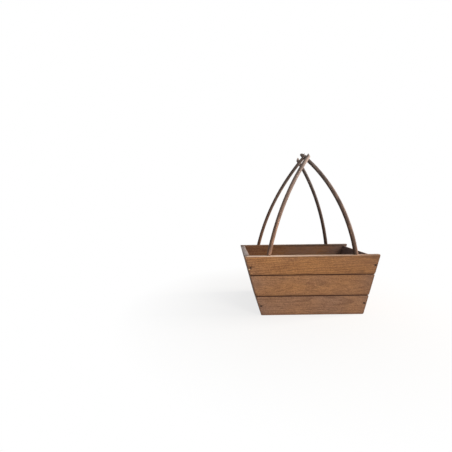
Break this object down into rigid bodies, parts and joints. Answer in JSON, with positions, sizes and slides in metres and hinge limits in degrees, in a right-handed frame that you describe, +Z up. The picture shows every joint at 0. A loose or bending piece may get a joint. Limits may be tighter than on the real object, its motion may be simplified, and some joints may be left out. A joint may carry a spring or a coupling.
{
  "type": "trug garden basket",
  "caption": "Splayed wooden garden trug of nailed tongue-and-groove boards, carried by bent rods that cross above it as a handle.",
  "frame": {"origin": "middle of the underside, on the surface that the trug stands on", "axes": "+Z up, +X along the long sides towards the right end, +Y from the front long side to the back one"},
  "size_m": [0.4, 0.246, 0.495],
  "materials": {
    "stained_board": "satin",
    "stained_rod": "satin",
    "steel_nail": "satin"
  },
  "bodies": {
    "root": {"front_board_lower": "stained_board", "front_board_middle": "stained_board", "front_board_upper": "stained_board", "back_board_lower": "stained_board", "back_board_middle": "stained_board", "back_board_upper": "stained_board", "left_end_board_lower": "stained_board", "left_end_board_middle": "stained_board", "left_end_board_upper": "stained_board", "right_end_board_lower": "stained_board", "right_end_board_middle": "stained_board", "right_end_board_upper": "stained_board", "base_board_front": "stained_board", "base_board_centre_front": "stained_board", "base_board_centre_back": "stained_board", "base_board_back": "stained_board", "handle_rod_front_left": "stained_rod", "handle_rod_front_right": "stained_rod", "handle_rod_back_left": "stained_rod", "handle_rod_back_right": "stained_rod", "front_corner_nails": "steel_nail", "back_corner_nails": "steel_nail", "left_base_nails": "steel_nail", "right_base_nails": "steel_nail", "crossing_nails": "steel_nail"}
  },
  "joints": []
}
